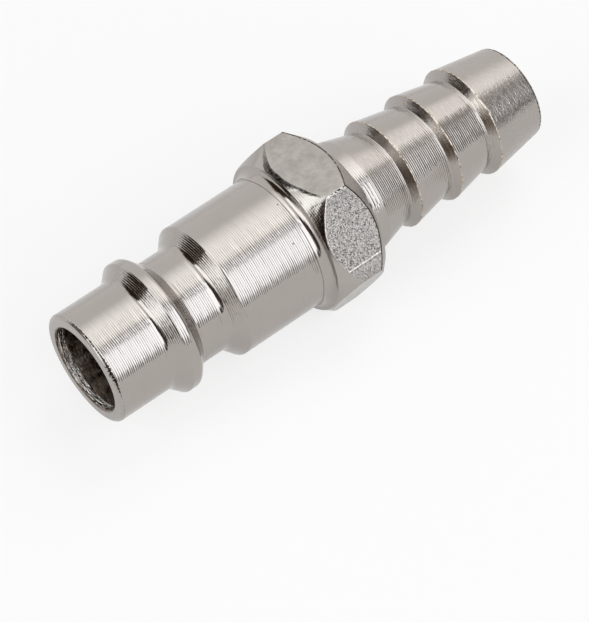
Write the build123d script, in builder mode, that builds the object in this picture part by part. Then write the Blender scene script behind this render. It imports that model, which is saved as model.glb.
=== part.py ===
"""Quick connect plug for an air hose, turned in one piece from hexagon bar.

The plug lies along +X. The face of its nose is at the origin and the hose tail
points away from it. +Z is square to one wrench flat, so the plug rests on the
flat below. All sizes are in millimetres and all angles in degrees.
"""

import os
from math import radians, tan

from build123d import *

# Nose, which the seal of the coupler closes around
nose_diameter = 10.0
nose_length = 5.3
nose_edge_radius = 0.36

# Locking ring, which snaps past the balls of the coupler
ring_diameter = 12.1
ring_land = 0.85
ring_front_angle = 45.0
ring_rear_angle = 48.5
ring_front_fillet = 0.65
ring_rear_round = 0.5

# Groove in which the balls sit
groove_diameter = 9.6
groove_length = 2.7
groove_front_fillet = 0.4
groove_rear_fillet = 0.8

# Body between the groove and the hexagon
body_diameter = 12.1
body_front_angle = 48.5
body_length = 8.5

# Wrench hexagon, turned down at both ends of its corners
hexagon_across_flats = 14.0
hexagon_length = 5.15
hexagon_front_fillet = 0.75
hexagon_front_shoulder = 0.1
hexagon_front_chamfer_angle = 34.5
hexagon_rear_neck = 0.7
hexagon_rear_shoulder = 0.9
hexagon_rear_chamfer_angle = 42.0

# Collar between the hexagon and the hose tail
collar_diameter = 10.3
collar_length = 1.83

# Hose tail, a row of cones whose steep backs hold the hose
barb_count = 3
barb_pitch = 4.45
barb_crest_diameter = 10.2
barb_root_diameter = 8.7
barb_back_length = 0.5
shank_length = 3.1
tail_tip_length = 5.2
tail_tip_diameter = 8.6
tail_edge_chamfer = 0.12

# Bore, drilled wide from the nose and narrower from the tail
nose_bore_diameter = 7.8
nose_bore_depth = 21.0
tail_bore_diameter = 6.8
drill_point_angle = 118.0
bore_mouth_chamfer = 0.1

nose_radius = nose_diameter / 2
ring_radius = ring_diameter / 2
groove_radius = groove_diameter / 2
body_radius = body_diameter / 2
collar_radius = collar_diameter / 2
crest_radius = barb_crest_diameter / 2
root_radius = barb_root_diameter / 2
tip_radius = tail_tip_diameter / 2
front_fillet_radius = body_radius + hexagon_front_fillet
front_face_radius = front_fillet_radius + hexagon_front_shoulder
rear_neck_radius = collar_radius + hexagon_rear_neck
rear_face_radius = rear_neck_radius + hexagon_rear_shoulder
nose_bore_radius = nose_bore_diameter / 2
tail_bore_radius = tail_bore_diameter / 2


def slope_length(rise, angle):
    """Length along the axis of a cone that rises by this much at this angle."""
    return rise / tan(radians(angle))


# Places along the axis, each from the one before it
ring_foot = nose_length
ring_front = ring_foot + slope_length(ring_radius - nose_radius, ring_front_angle)
ring_rear = ring_front + ring_land
groove_front = ring_rear + slope_length(ring_radius - groove_radius, ring_rear_angle)
groove_rear = groove_front + groove_length
body_front = groove_rear + slope_length(body_radius - groove_radius, body_front_angle)
hexagon_front = body_front + body_length
hexagon_rear = hexagon_front + hexagon_length
collar_rear = hexagon_rear + collar_length
first_barb_foot = collar_rear + shank_length
barb_feet = [first_barb_foot + index * barb_pitch for index in range(barb_count)]
tail_end = barb_feet[-1] + barb_back_length + tail_tip_length


def corner(sketch, position, radius):
    """The corner of the turned outline at this place along the axis and this radius."""
    return sketch.vertices().sort_by_distance((position, radius))[0]


def bore_mouth(part, end_direction):
    """The edge where the bore opens in the end face that looks in this direction."""
    end_face = part.faces().sort_by(Axis((0, 0, 0), end_direction))[-1]
    return end_face.inner_wires().edges()


# A cone stands on its wider or narrower end, and reaches away from it along the axis
from_its_foot = (Align.CENTER, Align.CENTER, Align.MIN)

# The hexagon is a slice of bar with its corners turned to a cone from either end
with BuildPart() as hexagon:
    with BuildSketch(Plane.YZ.offset(hexagon_front)):
        RegularPolygon(hexagon_across_flats / 2, 6, major_radius=False)
    extrude(amount=hexagon_length)
    with Locations(Location((hexagon_front, 0, 0), (0, 90, 0))):
        Cone(
            bottom_radius=front_face_radius,
            top_radius=front_face_radius + hexagon_length * tan(radians(hexagon_front_chamfer_angle)),
            height=hexagon_length,
            align=from_its_foot,
            mode=Mode.INTERSECT,
        )
    with Locations(Location((hexagon_rear, 0, 0), (0, -90, 0))):
        Cone(
            bottom_radius=rear_face_radius,
            top_radius=rear_face_radius + hexagon_length * tan(radians(hexagon_rear_chamfer_angle)),
            height=hexagon_length,
            align=from_its_foot,
            mode=Mode.INTERSECT,
        )

# Outline of the hose tail: each barb has a steep back and then tapers to the foot of the next
barb_outline = []
for foot in barb_feet:
    barb_outline.append((foot, root_radius))
    barb_outline.append((foot + barb_back_length, crest_radius))

with BuildPart() as plug_body:
    # Everything that is round, as one turned outline from the nose to the end of the tail
    with BuildSketch(Plane.XZ) as outline:
        with BuildLine():
            Polyline(
                (hexagon_front - hexagon_front_fillet, body_radius),
                (body_front, body_radius),
                (groove_rear, groove_radius),
                (groove_front, groove_radius),
                (ring_rear, ring_radius),
                (ring_front, ring_radius),
                (ring_foot, nose_radius),
                (0, nose_radius),
                (0, 0),
                (tail_end, 0),
                (tail_end, tip_radius),
                *reversed(barb_outline),
                (collar_rear, collar_radius),
                (hexagon_rear + hexagon_rear_neck, collar_radius),
                (hexagon_rear, rear_neck_radius),
                (hexagon_front, front_fillet_radius),
            )
            RadiusArc(
                (hexagon_front, front_fillet_radius),
                (hexagon_front - hexagon_front_fillet, body_radius),
                hexagon_front_fillet,
            )
        make_face()
        fillet(corner(outline, 0, nose_radius), nose_edge_radius)
        fillet(corner(outline, ring_foot, nose_radius), ring_front_fillet)
        fillet(corner(outline, ring_rear, ring_radius), ring_rear_round)
        fillet(corner(outline, groove_front, groove_radius), groove_front_fillet)
        fillet(corner(outline, groove_rear, groove_radius), groove_rear_fillet)
        chamfer(corner(outline, tail_end, tip_radius), tail_edge_chamfer)
    revolve(axis=Axis.X)
    add(hexagon.part)

    # The stepped bore, with the cone that the point of the wider drill leaves
    with Locations(Location((0, 0, 0), (0, -90, 0))):
        CounterBoreHole(
            radius=tail_bore_radius,
            counter_bore_radius=nose_bore_radius,
            counter_bore_depth=nose_bore_depth,
        )
    with Locations(Location((nose_bore_depth, 0, 0), (0, 90, 0))):
        Cone(
            bottom_radius=nose_bore_radius,
            top_radius=tail_bore_radius,
            height=slope_length(nose_bore_radius - tail_bore_radius, drill_point_angle / 2),
            align=from_its_foot,
            mode=Mode.SUBTRACT,
        )
    chamfer(bore_mouth(plug_body.part, (-1, 0, 0)), bore_mouth_chamfer)
    chamfer(bore_mouth(plug_body.part, (1, 0, 0)), bore_mouth_chamfer)

plug_body.part.label = "plug_body"

os.makedirs("parts", exist_ok=True)
export_step(plug_body.part, "parts/plug_body.step")
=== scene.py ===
"""Looks of the quick connect plug: its turned, plated metal, the table, the lights and the camera.

Sizes of the plug are in millimetres and angles in degrees, as in the CAD source. Blender works in metres,
so MM scales the plug's sizes where a mesh or a material is made. The table and the studio are in metres.

The plug lies along +X with the centre of its nose face at the origin, and +Z is square to the upper wrench
flat. An angle around the plug runs from +Z towards -Y, the side of the camera.
"""

from math import acos, atan, cos, degrees, floor, pi, radians, sin, sqrt, tan

import bpy
import numpy as np
from mathutils import Matrix, Vector, noise


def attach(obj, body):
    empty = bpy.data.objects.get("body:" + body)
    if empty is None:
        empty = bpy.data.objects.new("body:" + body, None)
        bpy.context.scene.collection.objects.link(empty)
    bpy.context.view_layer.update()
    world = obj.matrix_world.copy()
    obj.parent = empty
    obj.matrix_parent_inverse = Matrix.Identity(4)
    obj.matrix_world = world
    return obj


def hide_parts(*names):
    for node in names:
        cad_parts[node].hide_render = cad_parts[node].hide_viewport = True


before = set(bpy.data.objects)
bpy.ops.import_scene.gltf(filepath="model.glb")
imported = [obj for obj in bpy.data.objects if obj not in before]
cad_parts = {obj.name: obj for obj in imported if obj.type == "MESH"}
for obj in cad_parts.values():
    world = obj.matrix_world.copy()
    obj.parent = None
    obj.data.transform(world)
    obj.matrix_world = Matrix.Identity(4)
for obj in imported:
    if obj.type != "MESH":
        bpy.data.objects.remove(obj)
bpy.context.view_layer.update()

# Metres in a millimetre
MM = 0.001

# The turned outline, with the same sizes as the solid
nose_radius = 5.0
nose_length = 5.3
nose_edge_radius = 0.36
ring_radius = 6.05
ring_land = 0.85
ring_front_fillet = 0.65
ring_rear_round = 0.5
groove_radius = 4.8
groove_length = 2.7
groove_front_fillet = 0.4
groove_rear_fillet = 0.8
shoulder_angle = 48.5
body_radius = 6.05
body_length = 8.5
collar_radius = 5.15
collar_length = 1.83
shank_length = 3.1
barb_count = 3
barb_pitch = 4.45
barb_back_length = 0.5
crest_radius = 5.1
root_radius = 4.35
tail_tip_length = 5.2
tip_radius = 4.3
nose_bore_radius = 3.9
nose_bore_depth = 21.0
tail_bore_radius = 3.4
drill_point_angle = 118.0
bore_mouth_chamfer = 0.1

# The hexagon and the cones that turn its corners down. The arc of its fillet ends just short of its face
hexagon_apothem = 7.0
hexagon_length = 5.15
hexagon_fillet = 0.75
hexagon_fillet_arc = 0.999 * hexagon_fillet
front_shoulder = 0.1
front_fillet_radius = body_radius + hexagon_fillet
front_face_radius = front_fillet_radius + front_shoulder
front_cone_slope = tan(radians(34.5))
rear_neck = 0.7
rear_shoulder = 0.9
rear_neck_radius = collar_radius + rear_neck
rear_face_radius = rear_neck_radius + rear_shoulder
rear_cone_slope = tan(radians(42.0))

# Places along the axis
shoulder_slope = tan(radians(shoulder_angle))
ring_foot = nose_length
ring_front = ring_foot + (ring_radius - nose_radius)
ring_rear = ring_front + ring_land
groove_front = ring_rear + (ring_radius - groove_radius) / shoulder_slope
groove_rear = groove_front + groove_length
body_front = groove_rear + (body_radius - groove_radius) / shoulder_slope
hexagon_front = body_front + body_length
hexagon_rear = hexagon_front + hexagon_length
collar_rear = hexagon_rear + collar_length
barb_feet = [collar_rear + shank_length + index * barb_pitch for index in range(barb_count)]
tail_end = barb_feet[-1] + barb_back_length + tail_tip_length
bore_mouth_end = 0.8
drill_point_length = (nose_bore_radius - tail_bore_radius) / tan(radians(drill_point_angle / 2))

# The sides of the hexagon, numbered from the upper flat towards the camera
side_angle = 60.0
half_side_angle = side_angle / 2
upper_side = 0
lower_side_in_view = 1
rough_sides = (1, 4)

# Wear and soft edges that the solid leaves out
shoulder_round = 0.1
small_round = 0.05
collar_fillet = 0.25
barb_foot_fillet = 0.06
crest_round = 0.08
tail_edge_round = 0.1
bore_round = 0.02
hexagon_corner_round = 0.1
worn_middle_angle = 6.0
worn_half_angle = 9.0
worn_drop = 0.1
worn_flattening = 0.1
rim_height = 0.05
rim_share = 0.4
flat_front_margin = 0.07
flat_rear_margin = 0.12
seam_angle = 80.4
seam_half_angle = 0.35
seam_height = 0.02
run_out_length = 0.32
run_out_lift = 0.025
run_out_round = 2.0
end_edge_length = 0.25
end_edge_lift = 0.036
edge_wear = {"crest": 0.03, "end_edge": 0.015, "lip": 0.02}

# The mesh: columns and rows on a flat, steps along arcs and runs, the first point beside a corner, and
# the places of the rows up the hexagon's cones
columns_per_flat = 31
rows_per_flat = 10
arc_step = 0.05
fewest_arc_steps = 4
most_arc_steps = 12
point_spacing = 0.5
corner_guard = 0.05
front_cone_shares = (0.03, 0.2, 0.4, 0.6, 0.8)
rear_cone_shares = (*front_cone_shares, 0.97)

# The camera, found from the outline of the plug in the photograph
image_width = 589
image_height = 622
focal_length_pixels = 2649.2265
camera_right = Vector((0.77348, -0.62951, -0.07380))
camera_up = Vector((0.51839, 0.56132, 0.64513))
camera_back = Vector((-0.36469, -0.53725, 0.76050))
camera_place = Vector((-61.61, -121.30, 162.34))
sensor_width = 36.0


def corner_arc(before, corner, after, radius, steps):
    """Points of the arc of this radius that turns the outline at a corner."""
    corner = np.array(corner)
    inward = np.array(before) - corner
    outward = np.array(after) - corner
    inward = inward / np.linalg.norm(inward)
    outward = outward / np.linalg.norm(outward)
    half_angle = acos(np.clip(inward @ outward, -1, 1)) / 2
    reach = radius / tan(half_angle)
    middle = inward + outward
    middle = middle / np.linalg.norm(middle)
    centre = corner + middle * radius / sin(half_angle)
    first = corner + inward * reach - centre
    last = corner + outward * reach - centre
    turn = acos(np.clip(first @ last / radius**2, -1, 1))
    points = []
    for step in range(steps + 1):
        share = step / steps
        blend = (first * sin((1 - share) * turn) + last * sin(share * turn)) / sin(turn)
        points.append(centre + blend)
    return points


def rounded_outline(corners):
    """Points of the outline through these corners, each with its x, its radius and the finish after it."""
    points = []
    for index, (x, r, rounding, round_finish, finish) in enumerate(corners):
        is_end = index in (0, len(corners) - 1)
        if is_end or rounding == 0:
            points.append((x, r, finish))
            continue
        steps = max(fewest_arc_steps, min(most_arc_steps, round(rounding / arc_step)))
        before = corners[index - 1][:2]
        after = corners[index + 1][:2]
        arc = corner_arc(before, (x, r), after, rounding, steps)
        for point in arc[:-1]:
            points.append((point[0], point[1], round_finish))
        points.append((arc[-1][0], arc[-1][1], finish))
    return points


def scored(points, places, depth=0.02, half_width=0.03):
    """The same outline with a fine V cut into the metal near each of these places."""
    margin = half_width * 1.1
    shortest_run = 2.5 * half_width
    for place in places:
        best = None
        for index, (start, end) in enumerate(zip(points[:-1], points[1:])):
            run = np.array(end[:2]) - np.array(start[:2])
            length = np.linalg.norm(run)
            if length < shortest_run:
                continue
            along = (np.array(place) - np.array(start[:2])) @ run / length
            along = np.clip(along, margin, length - margin)
            middle = np.array(start[:2]) + run / length * along
            gap = np.linalg.norm(middle - np.array(place))
            if best is None or gap < best[0]:
                best = (gap, index, middle, run / length, start[2])
        _, index, middle, way, finish = best
        inward = np.array((way[1], -way[0]))
        cut = [middle - way * half_width, middle + inward * depth, middle + way * half_width]
        points = points[: index + 1] + [(p[0], p[1], finish) for p in cut] + points[index + 1 :]
    return points


def subdivided(points, spacing, guard):
    """The same outline with more points on its long runs, and one close to each end of a run."""
    shortest_run = 4 * guard
    result = []
    for (x0, r0, finish), (x1, r1, _) in zip(points[:-1], points[1:]):
        length = sqrt((x1 - x0) ** 2 + (r1 - r0) ** 2)
        result.append((x0, r0, finish))
        if length < shortest_run:
            continue
        count = max(1, round(length / spacing))
        places = [guard] + [length * n / count for n in range(1, count)] + [length - guard]
        for place in places:
            share = place / length
            result.append((x0 + (x1 - x0) * share, r0 + (r1 - r0) * share, finish))
    result.append(points[-1])
    return result


def column_angles():
    """Angles of the mesh's columns, in radians, with narrow ones over each rounded corner and the seam."""
    angles = []
    corner_width = hexagon_corner_round * tan(radians(half_side_angle))
    reach_share = 0.8
    corner_reach = degrees(atan(corner_width / hexagon_apothem)) * reach_share
    flat_reach = half_side_angle - corner_reach
    for side in range(6):
        middle = side_angle * side
        angles.extend(middle + np.linspace(-flat_reach, flat_reach, columns_per_flat))
        angles.extend(middle + half_side_angle + corner_reach * np.array([-0.5, 0.0, 0.5]))
    angles.extend(seam_angle + np.array([-seam_half_angle, 0.0, seam_half_angle]))
    return np.radians(np.array(sorted(set(np.round(angles, 6)))))


def hexagon_reach(angles):
    """Distance from the axis to the hexagon with its rounded corners and its seam, at each angle."""
    offset = np.abs((np.degrees(angles) + half_side_angle) % side_angle - half_side_angle)
    flat = hexagon_apothem / np.cos(np.radians(offset))
    centre = (hexagon_apothem - hexagon_corner_round) / cos(radians(half_side_angle))
    across = np.radians(half_side_angle - offset)
    inside = hexagon_corner_round**2 - (centre * np.sin(across)) ** 2
    rounded = centre * np.cos(across) + np.sqrt(np.maximum(inside, 0))
    from_seam = np.abs(np.degrees(angles) - seam_angle)
    seam = seam_height * np.clip(1 - from_seam / seam_half_angle, 0, 1)
    return np.where(inside > 0, np.minimum(flat, rounded), flat) + seam


# Corners of the turned outline: x, radius, round, finish of the round, finish of the run after it
front_outline = [
    (0.0, nose_bore_radius + bore_mouth_chamfer, 0, "face", "face"),
    (0.0, nose_radius, nose_edge_radius, "lip", "fine"),
    (ring_foot, nose_radius, ring_front_fillet, "fillet", "flank"),
    (ring_front, ring_radius, shoulder_round, "flank", "fine"),
    (ring_rear, ring_radius, ring_rear_round, "smooth", "smooth"),
    (groove_front, groove_radius, groove_front_fillet, "smooth", "fine"),
    (groove_rear, groove_radius, groove_rear_fillet, "fillet", "flank"),
    (body_front, body_radius, shoulder_round, "fine", "fine"),
    (hexagon_front, body_radius, hexagon_fillet_arc, "fillet", "smooth"),
    (hexagon_front, front_face_radius, 0, "smooth", "cone"),
]

# Places of the fine lines that a tool's corner scored at the shoulders
front_scores = [
    (groove_front + 0.22, groove_radius),
    (body_front + 0.1, body_radius),
    (hexagon_front - hexagon_fillet - 0.04, body_radius),
    (hexagon_front, front_fillet_radius + 0.05),
]

rear_outline = [
    (hexagon_rear, rear_face_radius, 0, "smooth", "smooth"),
    (hexagon_rear, rear_neck_radius, small_round, "smooth", "smooth"),
    (hexagon_rear + rear_neck, collar_radius, collar_fillet, "collar", "collar"),
    (collar_rear, collar_radius, small_round, "shank", "shank"),
]
rear_scores = [(collar_rear + 0.05, collar_radius)]
tail_finishes = ("shank", "tail", "worn_tail", "brushed_tail")
for foot, before, after in zip(barb_feet, tail_finishes, tail_finishes[1:]):
    rear_outline += [
        (foot - run_out_length, root_radius + run_out_lift, run_out_round, before, "run_out"),
        (foot, root_radius, barb_foot_fillet, "back", "back"),
        (foot + barb_back_length, crest_radius, crest_round, "crest", after),
    ]
rear_outline += [
    (tail_end - end_edge_length, tip_radius + end_edge_lift, 0, "end_edge", "end_edge"),
    (tail_end, tip_radius, tail_edge_round, "end_edge", "smooth"),
    (tail_end, tail_bore_radius + bore_mouth_chamfer, bore_round, "smooth", "smooth"),
    (tail_end - bore_mouth_chamfer, tail_bore_radius, bore_round, "bore", "bore"),
    (nose_bore_depth + drill_point_length, tail_bore_radius, bore_round, "bore", "bore"),
    (nose_bore_depth, nose_bore_radius, bore_round, "bore", "bore"),
    (bore_mouth_end, nose_bore_radius, 0, "bore_mouth", "bore_mouth"),
    (bore_mouth_chamfer, nose_bore_radius, small_round, "mouth_edge", "mouth_edge"),
    (0.0, nose_bore_radius + bore_mouth_chamfer, 0, "face", "face"),
]


def worn_share(angles):
    """How far the front edge of the upper flat is worn down at each angle, from 0 to 1.

    It is fully worn within the half angle of its middle, and fades out over as much again.
    """
    from_middle = np.abs((np.degrees(angles) - worn_middle_angle + 180) % 360 - 180)
    return np.clip(2.0 - from_middle / worn_half_angle, 0.0, 1.0)


def hexagon_rows(angles):
    """Rows over the hexagon: up the front cone, along the flats, and down the rear cone."""
    reach = hexagon_reach(angles)
    wear_and_highlight = worn_share(angles)
    foot = front_face_radius - worn_drop * wear_and_highlight
    slope = front_cone_slope * (1 - worn_flattening * wear_and_highlight)
    front_rise = reach - foot
    rear_drop = reach - rear_face_radius
    front_edge = hexagon_front + front_rise / slope
    rear_edge = hexagon_rear - rear_drop / rear_cone_slope
    rim = np.minimum(rim_height, front_rise * rim_share)
    rows = []
    for share in front_cone_shares:
        r = foot + (front_rise - rim) * share
        rows.append((hexagon_front + (r - foot) / slope, r, "cone"))
    r = reach - rim
    rows.append((hexagon_front + (r - foot) / slope, r, "rim"))
    rows.append((front_edge, reach, "rim"))
    start = front_edge + flat_front_margin
    end = rear_edge - flat_rear_margin
    for step in range(rows_per_flat):
        rows.append((start + (end - start) * (step / rows_per_flat), reach, "flat"))
    rows.append((end, reach, "edge"))
    rows.append((rear_edge, reach, "rear_cone"))
    for share in rear_cone_shares:
        r = reach - rear_drop * share
        rows.append((hexagon_rear - (r - rear_face_radius) / rear_cone_slope, r, "rear_cone"))
    return rows


def ragged(angles, x, height):
    """A small random rise and fall of a worn edge, the same at every run."""
    around = 24.0
    along = 3.0
    steps = [noise.noise(Vector((cos(a) * around, sin(a) * around, x * along))) for a in angles]
    return np.array(steps) * height


def outline_rows(corners, scores, angles):
    """Rows of a round part of the plug, each with the same radius at every angle but for the worn edges."""
    rows = []
    outline = scored(rounded_outline(corners), scores)
    for x, r, finish in subdivided(outline, point_spacing, corner_guard):
        radii = np.full(len(angles), r) + ragged(angles, x, edge_wear.get(finish, 0.0))
        rows.append((np.full(len(angles), x), radii, finish))
    return rows


def side_at(angle):
    """Number of the hexagon's side at this angle in radians. A corner counts for the side after it."""
    rounding_margin = 0.01
    return floor((degrees(angle) + half_side_angle + rounding_margin) / side_angle) % 6


def finish_on_side(finish, side):
    """Finish of a face: that of its row, unless its side of the hexagon has one of its own."""
    if finish == "flat" and side in rough_sides:
        return "rough_flat"
    if finish in ("rim", "cone") and side == upper_side:
        return "stained_cone"
    if finish == "cone" and side == lower_side_in_view:
        return "shaded_cone"
    return finish


def skin_points(rows, angles):
    """Points of the mesh, row after row."""
    points = [np.stack([x, -r * np.sin(angles), r * np.cos(angles)], axis=1) for x, r, _ in rows]
    return np.concatenate(points) * MM


def skin_faces(rows, angles):
    """Faces between each row and the next, their finishes, and their corners' places on the map "surface".

    The map holds millimetres around the plug, at the radius of the nose, and millimetres along the outline.
    """
    steps = [np.hypot(b[0] - a[0], b[1] - a[1])[0] for a, b in zip(rows, rows[1:] + rows[:1])]
    lengths = np.concatenate([[0.0], np.cumsum(steps)])
    count = len(angles)
    faces = []
    finishes = []
    surface = []
    for row, (_, _, finish) in enumerate(rows):
        here = row * count
        there = (row + 1) % len(rows) * count
        low, high = lengths[row], lengths[row + 1]
        for column in range(count):
            beside = (column + 1) % count
            left = angles[column] * nose_radius
            right = (angles[beside] + 2 * pi * (beside == 0)) * nose_radius
            faces.append((here + column, here + beside, there + beside, there + column))
            finishes.append(finish_on_side(finish, side_at(angles[column])))
            surface += [(left, low), (right, low), (right, high), (left, high)]
    return faces, finishes, surface


def plug_mesh():
    """The closed skin of the plug, with a material for each finish.

    Its rows of points run from the nose face over the outside to the tail, and back through the bore.
    """
    angles = column_angles()
    rows = outline_rows(front_outline, front_scores, angles)
    rows += hexagon_rows(angles)
    rows += outline_rows(rear_outline, rear_scores, angles)[:-1]
    faces, finishes, surface = skin_faces(rows, angles)
    mesh = bpy.data.meshes.new("plug")
    mesh.from_pydata(skin_points(rows, angles).tolist(), [], faces)
    kinds = sorted(set(finishes))
    for kind in kinds:
        mesh.materials.append(finish_makers[kind](kind).material)
    mesh.polygons.foreach_set("material_index", [kinds.index(finish) for finish in finishes])
    mesh.polygons.foreach_set("use_smooth", [True] * len(faces))
    layer = mesh.uv_layers.new(name="surface")
    layer.uv.foreach_set("vector", np.array(surface, np.float32).ravel())
    mesh.update()
    return mesh


class Shader:
    """A new material with a metal shader, and short ways to add nodes to it.

    Its sockets: place (object coordinates in metres), surface (the map in millimetres) and its two parts
    along_turn and along, and down_axis, across and up (millimetres along +X, -Y and +Z).
    """

    def __init__(self, name, color, roughness):
        """Starts with plain metal of this colour and roughness."""
        self.material = bpy.data.materials.new(name)
        self.material.use_nodes = True
        self.tree = self.material.node_tree
        self.metal = self.tree.nodes["Principled BSDF"]
        self.metal.inputs["Metallic"].default_value = 1.0
        self.metal.inputs["Base Color"].default_value = (*color, 1.0)
        self.metal.inputs["Roughness"].default_value = roughness
        places = self.tree.nodes.new("ShaderNodeTexCoord")
        self.place = places.outputs["Object"]
        split = self.tree.nodes.new("ShaderNodeSeparateXYZ")
        self.tree.links.new(places.outputs["UV"], split.inputs[0])
        self.along_turn = split.outputs["X"]
        self.along = split.outputs["Y"]
        axes = self.tree.nodes.new("ShaderNodeSeparateXYZ")
        self.tree.links.new(self.place, axes.inputs[0])
        self.down_axis = self.math("DIVIDE", axes.outputs["X"], MM)
        self.across = self.math("DIVIDE", axes.outputs["Y"], -MM)
        self.up = self.math("DIVIDE", axes.outputs["Z"], MM)
        self.surface = places.outputs["UV"]
        self.last_bump = None

    def put(self, socket, value):
        """Feeds an input from another socket, or sets it to a value."""
        if isinstance(value, bpy.types.NodeSocket):
            self.tree.links.new(value, socket)
        else:
            socket.default_value = value

    def math(self, operation, a, b=0.0, clamp=False):
        """The outcome of one sum, held between 0 and 1 where clamp is set."""
        node = self.tree.nodes.new("ShaderNodeMath")
        node.operation = operation
        node.use_clamp = clamp
        self.put(node.inputs[0], a)
        self.put(node.inputs[1], b)
        return node.outputs[0]

    def times(self, a, b, clamp=False):
        """a times b."""
        return self.math("MULTIPLY", a, b, clamp)

    def plus(self, a, b, clamp=False):
        """a plus b."""
        return self.math("ADD", a, b, clamp)

    def minus(self, a, b):
        """a minus b."""
        return self.math("SUBTRACT", a, b)

    def stretched(self, vector, scale):
        """Coordinates multiplied by this much along each axis."""
        node = self.tree.nodes.new("ShaderNodeVectorMath")
        node.operation = "MULTIPLY"
        self.put(node.inputs[0], vector)
        node.inputs[1].default_value = scale
        return node.outputs[0]

    def noise(self, vector, scale, detail=2.0, rough=0.5, distortion=0.0):
        """Noise from 0 to 1, with this many waves in a unit of the coordinates."""
        node = self.tree.nodes.new("ShaderNodeTexNoise")
        self.put(node.inputs["Vector"], vector)
        node.inputs["Scale"].default_value = scale
        node.inputs["Detail"].default_value = detail
        node.inputs["Roughness"].default_value = rough
        node.inputs["Distortion"].default_value = distortion
        return node.outputs["Fac"]

    def speckle(self, waves, detail=2.0, rough=0.5):
        """Noise with no direction, with this many waves in a millimetre."""
        return self.noise(self.place, waves / MM, detail, rough)

    def between(self, value, low, high, to_low=0.0, to_high=1.0):
        """The value carried from one range to another, and held at its ends."""
        node = self.tree.nodes.new("ShaderNodeMapRange")
        self.put(node.inputs["Value"], value)
        self.put(node.inputs["From Min"], low)
        self.put(node.inputs["From Max"], high)
        self.put(node.inputs["To Min"], to_low)
        self.put(node.inputs["To Max"], to_high)
        return node.outputs["Result"]

    def mix(self, share, a, b):
        """A colour between a, at share 0, and b, at share 1."""
        node = self.tree.nodes.new("ShaderNodeMix")
        node.data_type = "RGBA"
        self.put(node.inputs["Factor"], share)
        self.put(node.inputs["A"], (*a, 1.0) if isinstance(a, tuple) else a)
        self.put(node.inputs["B"], (*b, 1.0) if isinstance(b, tuple) else b)
        return node.outputs["Result"]

    def color(self, value):
        """Sets the colour of the metal."""
        self.put(self.metal.inputs["Base Color"], value)

    def bump(self, height, depth):
        """Adds relief of this depth, in millimetres, to what is there."""
        node = self.tree.nodes.new("ShaderNodeBump")
        node.inputs["Strength"].default_value = 1.0
        node.inputs["Distance"].default_value = depth * MM
        self.put(node.inputs["Height"], height)
        if self.last_bump is not None:
            self.tree.links.new(self.last_bump, node.inputs["Normal"])
        self.last_bump = node.outputs["Normal"]
        self.tree.links.new(self.last_bump, self.metal.inputs["Normal"])


# Colours of the plate, of its wear and of what has settled on it, and of the highlights and shade painted on
# it
nickel = (0.428, 0.395, 0.369)
nickel_dull = (0.398, 0.366, 0.343)
nickel_pit = (0.045, 0.042, 0.039)
# Painted highlight on the seam and at the corner of the rough flat
painted_highlight = (0.68, 0.65, 0.61)
tarnish = (0.05, 0.035, 0.025)
# Painted shade, near black, on the front cone along the upper flat and at the corner of the rough flat
painted_shade_black = (0.015, 0.012, 0.01)
# Painted shade, dark red brown, on the front cone beside the rough flat
painted_shade_red = (0.045, 0.022, 0.018)
# Painted brown reflection on the backs of the barbs
painted_brown_reflection = (0.13, 0.09, 0.06)
# Painted highlight on the backs of the barbs
back_highlight_pale = (0.85, 0.79, 0.7)
flat_dark = (0.33, 0.305, 0.285)
flat_pale = (0.43, 0.40, 0.37)
crest_dark = (0.2, 0.15, 0.1)
# Painted highlight along the crests of the barbs
crest_highlight = (0.7, 0.62, 0.52)
# Painted shade deep in the bore
bore_painted_shade = (0.05, 0.028, 0.017)
bore_pale = (0.44, 0.36, 0.3)
bore_mouth_dark = (0.42, 0.34, 0.28)
# Painted highlight at the mouth of the bore
bore_mouth_highlight = (0.98, 0.96, 0.93)
mouth_edge_dark = (0.06, 0.045, 0.035)
mouth_edge_pale = (0.25, 0.21, 0.17)

# Small dents: place along the axis, radius and angle
body_pits = ((18.55, body_radius, 43.5), (19.5, body_radius, 11.1))
barb_pits = ((31.3, 5.0, 33.4), (32.5, 4.77, 42.9), (35.2, 4.4, -28.5))

# Distance from one turning line to the next
body_pitch = 0.184
fillet_pitch = 0.16
cone_pitch = 0.18
rear_cone_pitch = 0.15
collar_pitch = 0.2
broad_collar_pitch = 0.28
tail_pitch = 0.207
worn_tail_pitch = 0.209
back_pitch = 0.12


def clouded_nickel(shader):
    """The colour of the plate, a little duller in places."""
    cloud = shader.speckle(0.35, 3.0)
    return shader.mix(cloud, nickel_dull, nickel)


def plated(name, roughness=0.12):
    """Nickel plate whose colour and gloss vary a little from place to place."""
    shader = Shader(name, nickel, roughness)
    shader.color(clouded_nickel(shader))
    fine = shader.speckle(2.5)
    gloss = shader.between(fine, 0.3, 0.7, roughness * 0.8, roughness * 1.25)
    shader.put(shader.metal.inputs["Roughness"], gloss)
    return shader


def add_turning_lines(shader, pitch, slope, along=None, strength=1.0, power=None):
    """Fine scallops that the cutting tool left, one to each turn: flat in the middle, steep at their edges.

    The slope is the steepest one. The strength makes the scallops shallower where it is below 1, and a higher
    power makes their steep edges narrower.
    """
    sharpness = 3.0
    drift_waves = (0.15, 1.5, 0.0)
    drift_reach = 0.6 * pitch
    along = along or shader.along
    drift = shader.noise(shader.stretched(shader.surface, drift_waves), 1.0, 1.0)
    shift = shader.times(drift, drift_reach)
    turns = shader.math("DIVIDE", shader.plus(along, shift), pitch)
    place_in_turn = shader.minus(shader.math("FRACT", turns), 0.5)
    from_middle = shader.times(shader.math("ABSOLUTE", place_in_turn), 2.0)
    scallop = shader.math("POWER", from_middle, power or sharpness)
    shader.bump(shader.times(scallop, strength), slope * pitch / (2 * sharpness))


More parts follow.
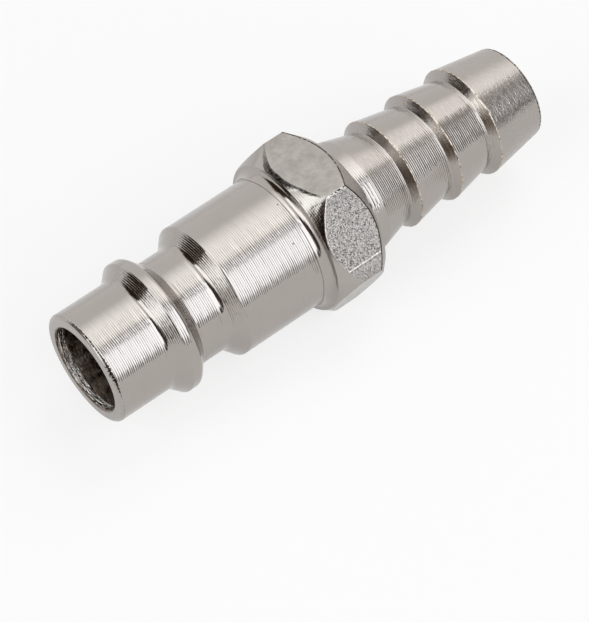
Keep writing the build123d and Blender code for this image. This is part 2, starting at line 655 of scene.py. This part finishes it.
def add_streaks(shader, depth, around=0.8, along=2.2):
    """Uneven marks that run around the plug, with this many waves in a millimetre in each direction."""
    streaks = shader.noise(shader.stretched(shader.surface, (around, along, 0.0)), 1.0, 2.0, 0.7)
    shader.bump(streaks, depth)


def add_grit(shader, waves, depth):
    """Fine unevenness with this many waves in a millimetre."""
    shader.bump(shader.speckle(waves), depth)


def add_pits(shader, places):
    """Small round dents at these places."""
    floor_radius = 0.02 * MM
    rim_radius = 0.08 * MM
    depth = 0.06
    for x, r, angle in places:
        centre = (x * MM, -r * sin(radians(angle)) * MM, r * cos(radians(angle)) * MM)
        gap = shader.tree.nodes.new("ShaderNodeVectorMath")
        gap.operation = "DISTANCE"
        shader.put(gap.inputs[0], shader.place)
        gap.inputs[1].default_value = centre
        shader.bump(shader.between(gap.outputs["Value"], floor_radius, rim_radius), depth)


def height_towards(shader, angle):
    """Millimetres from the axis, measured square to it at this angle."""
    sideways = shader.times(shader.across, sin(radians(angle)))
    upward = shader.times(shader.up, cos(radians(angle)))
    return shader.plus(sideways, upward)


def facing(shader, angle):
    """Cosine of how far a place is from this angle around the plug: 1 right there, 0 a quarter turn away."""
    across_squared = shader.math("POWER", shader.across, 2.0)
    up_squared = shader.math("POWER", shader.up, 2.0)
    radius = shader.math("SQRT", shader.plus(across_squared, up_squared))
    return shader.math("DIVIDE", height_towards(shader, angle), radius)


def window(shader, start, end, start_fade, end_fade):
    """1 between two angles around the plug and 0 outside them, with fades inwards that are this wide."""
    angles = (start, start + start_fade, end - end_fade, end)
    opening, opened, closing, closed = [nose_radius * radians(angle) for angle in angles]
    rise = shader.between(shader.along_turn, opening, opened)
    fall = shader.between(shader.along_turn, closing, closed, 1.0, 0.0)
    return shader.times(rise, fall)


def face_metal(name):
    """The turned face of the nose, with a faint grain."""
    shader = plated(name, 0.22)
    add_grit(shader, 5.0, 0.006)
    return shader


def fine_metal(name):
    """The turned walls of the nose, the ring, the groove and the body, with even lines.

    The lines are deepest a little to either side of 45 degrees around the plug, and shallow far from it.
    """
    shader = plated(name)
    near_middle = facing(shader, 45.0)
    beside_middle = shader.between(near_middle, 0.955, 0.995, 1.25, 0.72)
    in_reach = shader.between(near_middle, 0.82, 0.9, 0.4, 1.0)
    strength = shader.times(beside_middle, in_reach)
    power = shader.between(near_middle, 0.955, 0.995, 1.8, 3.0)
    add_turning_lines(shader, body_pitch, 0.5, strength=strength, power=power)
    add_streaks(shader, 0.03, 0.3)
    add_pits(shader, body_pits)
    return shader


def flank_metal(name):
    """The front slopes of the ring and the body, with shallower lines."""
    shader = plated(name)
    add_turning_lines(shader, body_pitch, 0.28)
    add_streaks(shader, 0.03)
    return shader


def fillet_metal(name):
    """The hollow rounds before the ring, the body and the hexagon, glossy with hardly a line."""
    shader = plated(name, 0.1)
    add_turning_lines(shader, fillet_pitch, 0.06)
    add_streaks(shader, 0.015)
    return shader


def smooth_metal(name):
    """The ring's rear slope, the hexagon's end faces and the end of the tail, smooth with faint marks."""
    shader = plated(name)
    add_streaks(shader, 0.012, 0.6, 3.0)
    return shader


def tail_metal(name):
    """The first barb, with even lines."""
    shader = plated(name)
    strength = shader.between(facing(shader, 50.0), 0.78, 0.92, 0.15, 1.0)
    add_turning_lines(shader, tail_pitch, 0.52, strength=strength)
    add_streaks(shader, 0.03, 0.35)
    add_pits(shader, barb_pits)
    return shader


def shank_metal(name):
    """The taper behind the collar, with the deepest lines."""
    shader = plated(name)
    strength = shader.between(facing(shader, 50.0), 0.86, 0.97, 0.2, 1.0)
    add_turning_lines(shader, tail_pitch, 0.95, strength=strength)
    add_streaks(shader, 0.03, 0.35)
    return shader


def worn_tail_metal(name):
    """The second barb, whose lines are partly rubbed away."""
    shader = plated(name)
    strength = shader.between(facing(shader, 45.0), 0.9, 0.985, 0.12, 1.0)
    add_turning_lines(shader, worn_tail_pitch, 0.32, strength=strength)
    add_streaks(shader, 0.03, 0.45)
    return shader


def brushed_tail_metal(name):
    """The last barb, with no regular lines, only uneven brushed marks."""
    shader = plated(name, 0.235)
    add_streaks(shader, 0.03)
    add_streaks(shader, 0.02, 2.0, 5.0)
    return shader


def collar_metal(name):
    """Collar with fine lines, and a patch of broad ones on the side of the rough flat."""
    shader = plated(name)
    add_turning_lines(shader, collar_pitch, 0.3)
    add_streaks(shader, 0.03)
    patch = window(shader, 33.0, 59.0, 3.0, 3.0)
    wave = shader.math("SINE", shader.times(shader.along, 2 * pi / broad_collar_pitch))
    shader.bump(shader.times(wave, patch), 0.008)
    return shader


def turned_cone(name, slope, dents):
    """Front cone of the hexagon: bright, slightly dented, with faint lines."""
    shader = plated(name, 0.1)
    slant = shader.times(shader.down_axis, sqrt(1 + front_cone_slope**2))
    add_turning_lines(shader, cone_pitch, slope, slant)
    add_grit(shader, 1.8, dents)
    return shader


def cone_metal(name):
    """Front cone on the sides that have no stain."""
    shader = turned_cone(name, 0.17, 0.03)
    add_grit(shader, 5.0, 0.01)
    return shader


def shaded_cone_metal(name):
    """Front cone beside the rough flat, with dark red brown painted shade where it meets the flat."""
    shader = cone_metal(name)
    # Painted shade: a dark red brown band of uneven width along the rough flat
    below_flat = shader.minus(hexagon_apothem, height_towards(shader, side_angle))
    uneven = shader.speckle(4.0, 3.0, 0.6)
    width = shader.between(uneven, 0.3, 0.7, 0.14, 0.36)
    shade_share = shader.between(shader.minus(width, below_flat), -0.1, 0.08, 0.0, 0.85)
    shade_share = shader.times(shade_share, window(shader, 29.0, 70.0, 3.0, 12.0))
    shader.color(shader.mix(shade_share, nickel, painted_shade_red))
    return shader


def flat_metal(name):
    """The drawn flats of the bar, smooth with a faint mottle."""
    shader = plated(name, 0.2)
    mottle = shader.speckle(1.0, 5.0, 0.7)
    shader.color(shader.mix(shader.between(mottle, 0.35, 0.65), flat_dark, flat_pale))
    shader.bump(mottle, 0.008)
    return shader


def drawn_grain(shader, seam):
    """Height of the coarse grain, from 0 in its pits to 1 on its ridges, and fuller below the seam."""
    below = shader.between(shader.along_turn, seam - 0.02, seam + 0.04)
    waves = shader.stretched(shader.surface, (9.5, 15.5, 0.0))
    grain = shader.noise(waves, 1.0, 0.0, 0.5, 0.5)
    from_middle = shader.math("ABSOLUTE", shader.minus(grain, 0.5))
    ridge = shader.times(from_middle, 12.0, True)
    ridge = shader.times(ridge, shader.between(below, 0.0, 1.0, 1.0, 0.9))
    return shader.plus(ridge, shader.between(below, 0.0, 1.0, 0.0, 0.12), True)


def corner_highlight_and_shade(shader, color):
    """This colour, with painted shade in a ragged black line and a painted highlight, at the upper corner."""
    from_corner = shader.minus(shader.along_turn, nose_radius * radians(half_side_angle))
    line_wander = shader.between(shader.speckle(5.0, 3.0), 0.35, 0.65, 0.0, 0.14)
    past_line = shader.minus(from_corner, line_wander)
    # Painted highlight beside the corner, and painted shade in a black line right at it
    color = shader.mix(shader.between(past_line, 0.02, 0.05, 1.0, 0.0), color, painted_highlight)
    return shader.mix(shader.between(past_line, -0.03, -0.01, 1.0, 0.0), color, painted_shade_black)


def rough_flat_metal(name):
    """A flat with a coarse drawn grain and a raised seam, below which it is smoother."""
    shader = plated(name, 0.24)
    seam = nose_radius * radians(seam_angle)
    ridge = drawn_grain(shader, seam)
    color = shader.mix(ridge, nickel_pit, nickel_dull)
    wear_and_highlight = shader.between(shader.speckle(1.5), 0.3, 0.6, 0.3, 1.0)
    from_seam = shader.math("ABSOLUTE", shader.minus(shader.along_turn, seam))
    on_seam = shader.between(from_seam, 0.03, 0.06, 1.0, 0.0)
    # Painted highlight along the raised seam, in patches
    color = shader.mix(shader.times(on_seam, wear_and_highlight), color, painted_highlight)
    shader.color(corner_highlight_and_shade(shader, color))
    shader.bump(ridge, 0.028)
    return shader


def rim_metal(name):
    """The narrow bright rim between a flat and the front cone."""
    shader = plated(name, 0.2)
    add_grit(shader, 6.0, 0.02)
    return shader


def ragged_shade_band(shader, spots):
    """1 in a ragged painted shade band of the front cone along the upper flat, widest near its middle, and 0
    below it.
    """
    # Painted shade: a band that reaches furthest below the upper flat near its middle
    below_flat = shader.minus(hexagon_apothem, shader.up)
    widening = shader.between(shader.across, -3.8, -2.0, 0.08, 0.36)
    narrowing = shader.between(shader.across, 0.0, 1.3, 0.36, 0.1)
    width = shader.math("MINIMUM", widening, narrowing)
    edge = shader.times(width, shader.between(spots, 0.3, 0.7, 0.6, 1.4))
    band = shader.between(shader.minus(edge, below_flat), -0.02, 0.05)
    band = shader.times(band, shader.between(shader.across, 3.2, 3.8, 1.0, 0.0))
    band = shader.times(band, shader.between(shader.across, -3.6, -1.6, 0.35, 1.0))
    flecks = shader.between(shader.speckle(9.0, 1.0), 0.5, 0.62, 1.0, 0.5)
    return shader.times(band, flecks)


def upper_shaded_cone_metal(name):
    """Front cone beside the upper flat, with a ragged near-black band of painted shade along the flat."""
    shader = turned_cone(name, 0.1, 0.02)
    spots = shader.speckle(4.0, 3.0, 0.6)
    band = ragged_shade_band(shader, spots)
    # Painted shade: the band is near black
    shader.color(shader.mix(band, nickel, painted_shade_black))
    shader.bump(shader.times(spots, band), 0.03)
    return shader


def crest_metal(name):
    """The thin edge of a barb, a painted highlight that is a little torn."""
    shader = plated(name, 0.3)
    # Painted highlight along the crest, broken by darker torn spots
    tears = shader.between(shader.speckle(4.0), 0.35, 0.6)
    shader.color(shader.mix(tears, crest_dark, crest_highlight))
    shader.bump(tears, 0.012)
    return shader


def add_worn_line(shader, place, wander, width):
    """A dark torn line around the plug at this place along its axis.

    It wanders by up to this much to either side, and reaches this width to either side where it is widest.
    """
    slow = shader.speckle(0.9, 3.0, 0.7)
    middle = shader.plus(place - wander, shader.times(slow, 2.0 * wander))
    gap = shader.math("ABSOLUTE", shader.minus(shader.down_axis, middle))
    uneven = shader.speckle(6.0, 4.0, 0.65)
    # Below 0 the line is broken
    thickness = shader.between(uneven, 0.36, 0.62, -0.03, width)
    line = shader.between(shader.minus(gap, thickness), 0.0, 0.02, 1.0, 0.0)
    shader.color(shader.mix(line, nickel, tarnish))
    shader.bump(line, -0.02)


def lip_metal(name):
    """Round of the nose, with the torn edge where the face and the turned wall meet."""
    shader = plated(name, 0.2)
    torn_side = shader.between(facing(shader, 32.0), 0.68, 0.88, 0.02, 0.2)
    uneven = shader.between(shader.speckle(0.3, 1.0), 0.38, 0.62, 0.4, 1.15)
    add_worn_line(shader, 0.21, 0.06, shader.times(torn_side, uneven))
    add_grit(shader, 3.0, 0.01)
    return shader


def end_edge_metal(name):
    """Round at the end of the tail, with a thin torn line."""
    shader = plated(name, 0.16)
    add_worn_line(shader, tail_end - 0.14, 0.02, 0.08)
    return shader


def edge_metal(name):
    """A worn edge where tarnish sits between bright points."""
    shader = plated(name, 0.2)
    spots = shader.speckle(4.0, 2.0, 0.6)
    clean = shader.between(spots, 0.55, 0.68)
    shader.color(shader.mix(clean, tarnish, nickel))
    shader.bump(spots, 0.02)
    return shader


def rough_bore(name, roughness, dark, pale, relief, streak):
    """A drilled wall, duller than the outside, mottled between two shades and streaked around.

    It is paler at its foot, on the camera's side: painted light.
    """
    shader = plated(name, roughness)
    cloud = shader.speckle(1.5, 5.0, 0.7)
    # Painted light: paler towards the foot of the wall, on the camera's side
    painted_light_side = shader.between(facing(shader, 150.0), 0.6, 0.95, 0.0, 0.45)
    share = shader.plus(shader.between(cloud, 0.38, 0.62), painted_light_side, True)
    shader.color(shader.mix(share, dark, pale))
    add_streaks(shader, streak, 0.5, 4.0)
    add_grit(shader, 6.0, relief)
    return shader


def bore_metal(name):
    """The bore behind its mouth, dull, its dark colour a painted shade."""
    return rough_bore(name, 0.38, bore_painted_shade, bore_pale, 0.045, 0.04)


def bore_mouth_metal(name):
    """The first stretch of the nose bore, streaked, its pale colour a painted highlight."""
    return rough_bore(name, 0.25, bore_mouth_dark, bore_mouth_highlight, 0.03, 0.13)


def mouth_edge_metal(name):
    """The small chamfer at the mouth of the nose, dark."""
    return rough_bore(name, 0.35, mouth_edge_dark, mouth_edge_pale, 0.01, 0.02)


def back_metal(name):
    """The steep back of a barb, with a painted brown reflection on the camera's side and a painted highlight
    above it.
    """
    shader = plated(name, 0.2)
    # Painted brown reflection on the camera's side, and a painted highlight above it
    brown_share = shader.between(facing(shader, 50.0), 0.95, 1.0, 0.0, 0.8)
    highlight_share = shader.between(facing(shader, 33.0), 0.965, 1.0, 0.0, 0.36)
    color = shader.mix(highlight_share, clouded_nickel(shader), back_highlight_pale)
    shader.color(shader.mix(brown_share, color, painted_brown_reflection))
    add_turning_lines(shader, back_pitch, 0.12)
    add_streaks(shader, 0.03)
    return shader


def run_out_metal(name):
    """The short run before a barb, where the lines fade out."""
    shader = plated(name, 0.3)
    add_streaks(shader, 0.02)
    return shader


def rear_cone_metal(name):
    """Rear cone of the hexagon, dull from the parting tool."""
    shader = plated(name, 0.34)
    add_turning_lines(shader, rear_cone_pitch, 0.3)
    add_grit(shader, 4.5, 0.035)
    return shader


# The function that makes the material of each finish
finish_makers = dict(
    face=face_metal,
    fine=fine_metal,
    flank=flank_metal,
    fillet=fillet_metal,
    smooth=smooth_metal,
    edge=edge_metal,
    lip=lip_metal,
    end_edge=end_edge_metal,
    cone=cone_metal,
    shaded_cone=shaded_cone_metal,
    rim=rim_metal,
    stained_cone=upper_shaded_cone_metal,
    flat=flat_metal,
    rough_flat=rough_flat_metal,
    collar=collar_metal,
    tail=tail_metal,
    shank=shank_metal,
    worn_tail=worn_tail_metal,
    brushed_tail=brushed_tail_metal,
    crest=crest_metal,
    bore=bore_metal,
    bore_mouth=bore_mouth_metal,
    mouth_edge=mouth_edge_metal,
    back=back_metal,
    run_out=run_out_metal,
    rear_cone=rear_cone_metal,
)


def added(name, data):
    """A new object with this data, in the scene."""
    thing = bpy.data.objects.new(name, data)
    bpy.context.scene.collection.objects.link(thing)
    return thing


plug = added("plug", plug_mesh())
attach(plug, "root")
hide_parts("plug_body")


def flat_sheet(name, half_width, half_height):
    """A level rectangle around its own origin, in the scene."""
    x, y = half_width, half_height
    mesh = bpy.data.meshes.new(name)
    mesh.from_pydata([(-x, -y, 0.0), (x, -y, 0.0), (x, y, 0.0), (-x, y, 0.0)], [], [(0, 1, 2, 3)])
    return added(name, mesh)


def glow_node(tree, shade):
    """A node that gives light of this colour."""
    glow = tree.nodes.new("ShaderNodeEmission")
    glow.inputs["Color"].default_value = (*shade, 1.0)
    return glow


def blend_shaders(tree, share, first, second):
    """Covers the first shader with this share of the second one, and makes that the material's surface."""
    blend = tree.nodes.new("ShaderNodeMixShader")
    tree.links.new(share, blend.inputs[0])
    tree.links.new(first.outputs[0], blend.inputs[1])
    tree.links.new(second.outputs[0], blend.inputs[2])
    tree.links.new(blend.outputs[0], tree.nodes["Material Output"].inputs["Surface"])


# The table, and how much of it is plain white to each kind of ray that sees it
table_half_size = 20.0
table_shade = (0.8, 0.8, 0.8)
table_whiteness = (("Is Camera Ray", 0.75), ("Is Glossy Ray", 0.4), ("Is Transmission Ray", 0.4))


def add_floor():
    """A pale table that keeps the shadow of the plug, and shows near white."""
    table = flat_sheet("table", table_half_size, table_half_size)
    table.location.z = -hexagon_apothem * MM
    material = bpy.data.materials.new("table_top")
    material.use_nodes = True
    tree = material.node_tree
    diffuse = tree.nodes["Principled BSDF"]
    diffuse.inputs["Base Color"].default_value = (*table_shade, 1.0)
    diffuse.inputs["Roughness"].default_value = 1.0
    diffuse.inputs["Specular IOR Level"].default_value = 0.0
    white = glow_node(tree, (1.0, 1.0, 1.0))
    rays = tree.nodes.new("ShaderNodeLightPath")
    share = None
    for ray, part in table_whiteness:
        seen = tree.nodes.new("ShaderNodeMath")
        seen.operation = "MULTIPLY_ADD"
        tree.links.new(rays.outputs[ray], seen.inputs[0])
        seen.inputs[1].default_value = part
        seen.inputs[2].default_value = 0.0
        if share is not None:
            tree.links.new(share.outputs[0], seen.inputs[2])
        share = seen
    blend_shaders(tree, share.outputs[0], diffuse, white)
    table.data.materials.append(material)


# How bright the surroundings are, to the eye and as a source of light
world_level = 1.0
world_light_level = 0.35


def add_world():
    """Pale surroundings, white to the camera and in the gloss, and dimmer as a source of light."""
    world = bpy.data.worlds.new("studio")
    bpy.context.scene.world = world
    world.use_nodes = True
    tree = world.node_tree
    background = tree.nodes["Background"]
    background.inputs["Color"].default_value = (1.0, 1.0, 1.0, 1.0)
    rays = tree.nodes.new("ShaderNodeLightPath")
    strength = tree.nodes.new("ShaderNodeMapRange")
    strength.inputs["To Min"].default_value = world_level
    strength.inputs["To Max"].default_value = world_light_level
    tree.links.new(rays.outputs["Is Diffuse Ray"], strength.inputs["Value"])
    tree.links.new(strength.outputs["Result"], background.inputs["Strength"])


# The point that the standing panels face, inside the plug's hexagon
studio_centre = Vector((22.0, 0.0, 0.0)) * MM


def direction(azimuth, elevation):
    """Unit vector that looks this way: azimuth from -Y towards +X, elevation above the table."""
    turn = radians(azimuth)
    tilt = radians(elevation)
    return Vector((sin(turn) * cos(tilt), -cos(turn) * cos(tilt), sin(tilt)))


def facing_frame(azimuth, elevation, distance):
    """Placement of a panel that stands in this direction and faces the plug."""
    away = direction(azimuth, elevation)
    side = direction(azimuth + 90.0, 0.0)
    up = away.cross(side)
    turn = Matrix((side, up, away)).transposed().to_4x4()
    return Matrix.Translation(studio_centre + away * distance) @ turn


def add_panel(name, placement, half_width, half_height, shade, fades):
    """A panel that only the plug's gloss sees. It glows in its shade and fades away along its edges.

    The fades are the widths of its left, right, lower and upper borders, in metres.
    """
    panel = flat_sheet(name, half_width, half_height)
    panel.matrix_world = placement
    material = bpy.data.materials.new(name)
    material.use_nodes = True
    tree = material.node_tree
    share = faded_share(tree, half_width, half_height, fades)
    clear = tree.nodes.new("ShaderNodeBsdfTransparent")
    blend_shaders(tree, share, clear, glow_node(tree, shade))
    panel.data.materials.append(material)
    panel.visible_camera = False
    panel.visible_diffuse = False
    panel.visible_shadow = False


def faded_share(tree, half_width, half_height, fades):
    """1 in the middle of a panel, and less towards its left, right, lower and upper borders."""
    places = tree.nodes.new("ShaderNodeTexCoord")
    split = tree.nodes.new("ShaderNodeSeparateXYZ")
    tree.links.new(places.outputs["Object"], split.inputs[0])
    borders = (
        ("X", -half_width, fades[0]),
        ("X", half_width, -fades[1]),
        ("Y", -half_height, fades[2]),
        ("Y", half_height, -fades[3]),
    )
    share = None
    for axis, edge, fade in borders:
        border = tree.nodes.new("ShaderNodeMapRange")
        border.inputs["From Min"].default_value = edge
        border.inputs["From Max"].default_value = edge + fade
        tree.links.new(split.outputs[axis], border.inputs["Value"])
        if share is None:
            share = border.outputs["Result"]
            continue
        both = tree.nodes.new("ShaderNodeMath")
        both.operation = "MULTIPLY"
        tree.links.new(share, both.inputs[0])
        tree.links.new(border.outputs["Result"], both.inputs[1])
        share = both.outputs[0]
    return share


def add_lamp(name, placement, width, height, level):
    """A rectangular lamp. In the gloss its panel shows in its place."""
    lamp = bpy.data.lights.new(name, "AREA")
    lamp.shape = "RECTANGLE"
    lamp.size = width
    lamp.size_y = height
    lamp.energy = level * pi * width * height
    light = added(name, lamp)
    light.matrix_world = placement
    light.visible_camera = False
    light.visible_glossy = False


def add_standing_panel(name, azimuths, elevations, shade, fades, distance):
    """A panel that faces the plug over this range of directions, with its fades in degrees."""
    middle = (sum(azimuths) / 2, sum(elevations) / 2)
    half_width = distance * tan(radians(azimuths[1] - azimuths[0]) / 2) * cos(radians(middle[1]))
    half_height = distance * tan(radians(elevations[1] - elevations[0]) / 2)
    placement = facing_frame(*middle, distance)
    fade_widths = [distance * tan(radians(fade)) for fade in fades]
    add_panel(name, placement, half_width, half_height, shade, fade_widths)
    return placement, half_width, half_height


# The lit faces beside the camera: name, azimuths, elevations, shade, fades in degrees, distance
lit_faces = (
    ("right", (-25.0, 47.5), (-2.0, 69.0), (2.36, 2.48, 2.62), (5.0, 7.0, 17.0, 3.0), 1.0),
    ("left", (-112.0, -66.0), (0.0, 60.0), (2.3, 2.38, 2.42), (4.0, 11.0, 8.0, 14.0), 1.0),
)

# The lamps, and how much of its face's height a side lamp takes
overhead_lamp_size = (1.0, 0.7)
overhead_lamp_level = 2.2
side_lamp_level = 2.4
side_lamp_share = 0.7

# The room that shows between the faces, in the same order of sizes
room_panels = (
    ("gap_right", (17.0, 67.0), (52.0, 59.6), (0.05, 0.045, 0.045), (5.0, 5.0, 3.0, 1.0), 0.95),
    ("dark_camera_side", (-72.0, -22.0), (-5.0, 62.0), (0.08, 0.06, 0.05), (4.0, 3.0, 4.0, 4.0), 1.1),
    ("dark_left", (-151.0, -105.0), (-10.0, 55.0), (0.04, 0.025, 0.015), (8.0, 9.0, 20.0, 6.0), 1.1),
    ("dark_left_foot", (-120.0, -92.0), (-2.0, 30.0), (0.07, 0.05, 0.035), (2.0, 16.0, 2.0, 8.0), 0.95),
    ("dark_right", (36.0, 84.0), (-2.0, 51.0), (0.4, 0.38, 0.37), (5.0, 6.0, 1.0, 3.0), 1.1),
    ("dark_right_foot", (30.0, 49.0), (-3.0, 20.0), (0.1, 0.09, 0.08), (4.0, 5.0, 1.0, 8.0), 0.95),
    ("dark_camera_foot", (-24.0, 8.0), (-3.0, 15.0), (0.1, 0.08, 0.07), (1.0, 6.0, 1.0, 6.0), 0.95),
    ("wall_right", (80.0, 125.0), (22.0, 43.0), (1.75, 1.7, 1.66), (5.0, 14.0, 10.0, 5.0), 1.3),
)


def add_overhead():
    """The large lit face above the plug, with its lamp."""
    height = 1.0
    left_end, right_end = -0.26, 1.76
    far_side, near_side = 0.87, -0.5
    shade = (2.55, 2.6, 2.62)
    fades = (0.3, 1.58, 0.24, 0.98)
    middle = Vector(((left_end + right_end) / 2, (far_side + near_side) / 2, height))
    half_width = (right_end - left_end) / 2
    half_height = (far_side - near_side) / 2
    placement = Matrix.Translation(middle + studio_centre)
    add_panel("face_overhead", placement, half_width, half_height, shade, fades)
    add_lamp("lamp_overhead", placement, *overhead_lamp_size, overhead_lamp_level)


def add_studio():
    """An overhead lamp, a lamp on either side of the camera, and the room that shows between them."""
    add_overhead()
    for side, *face in lit_faces:
        placement, half_width, half_height = add_standing_panel(f"face_{side}", *face)
        lamp_height = 2 * half_height * side_lamp_share
        add_lamp(f"lamp_{side}", placement, 2 * half_width, lamp_height, side_lamp_level)
    for panel in room_panels:
        add_standing_panel(*panel)


def add_camera():
    """The camera, where it stood when the photograph was taken."""
    data = bpy.data.cameras.new("camera")
    data.sensor_width = sensor_width
    data.lens = focal_length_pixels / max(image_width, image_height) * sensor_width
    data.clip_start = 0.01
    data.clip_end = 10.0
    camera = added("camera", data)
    axes = Matrix((camera_right, camera_up, camera_back)).transposed()
    camera.matrix_world = Matrix.Translation(camera_place * MM) @ axes.to_4x4()
    bpy.context.scene.camera = camera


add_floor()
add_world()
add_studio()
add_camera()
bpy.context.scene.view_settings.view_transform = "Standard"
